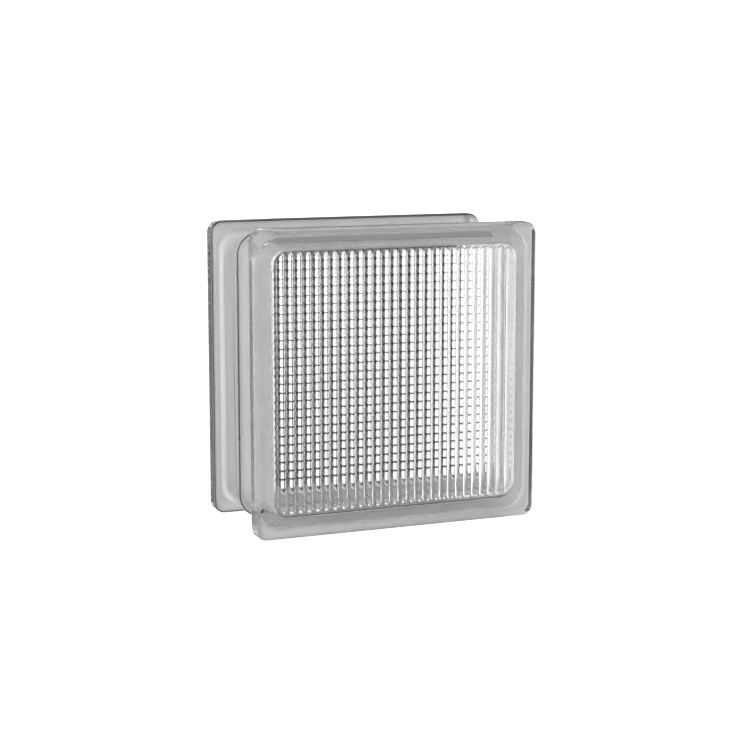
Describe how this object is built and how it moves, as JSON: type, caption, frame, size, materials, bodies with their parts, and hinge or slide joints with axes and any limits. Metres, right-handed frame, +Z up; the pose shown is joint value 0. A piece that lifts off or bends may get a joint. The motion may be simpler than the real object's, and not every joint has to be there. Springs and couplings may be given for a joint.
{
  "type": "glass block",
  "caption": "Hollow pressed-glass wall block, fused from halves into one piece, with reeded inner panes and a mortar channel round its edge.",
  "frame": {"origin": "middle of the footprint, on the plane of the lower flange edges that the block stands on", "axes": "+Z up along the height, +X along the width, +Y along the depth from the front pane with upright reeds to the rear pane with level reeds"},
  "size_m": [0.197, 0.098, 0.197],
  "materials": {
    "clear_glass": "clear fire-polished pressed glass with a faint grey-green tint"
  },
  "bodies": {
    "root": {"glass_block": "clear_glass"}
  },
  "joints": []
}
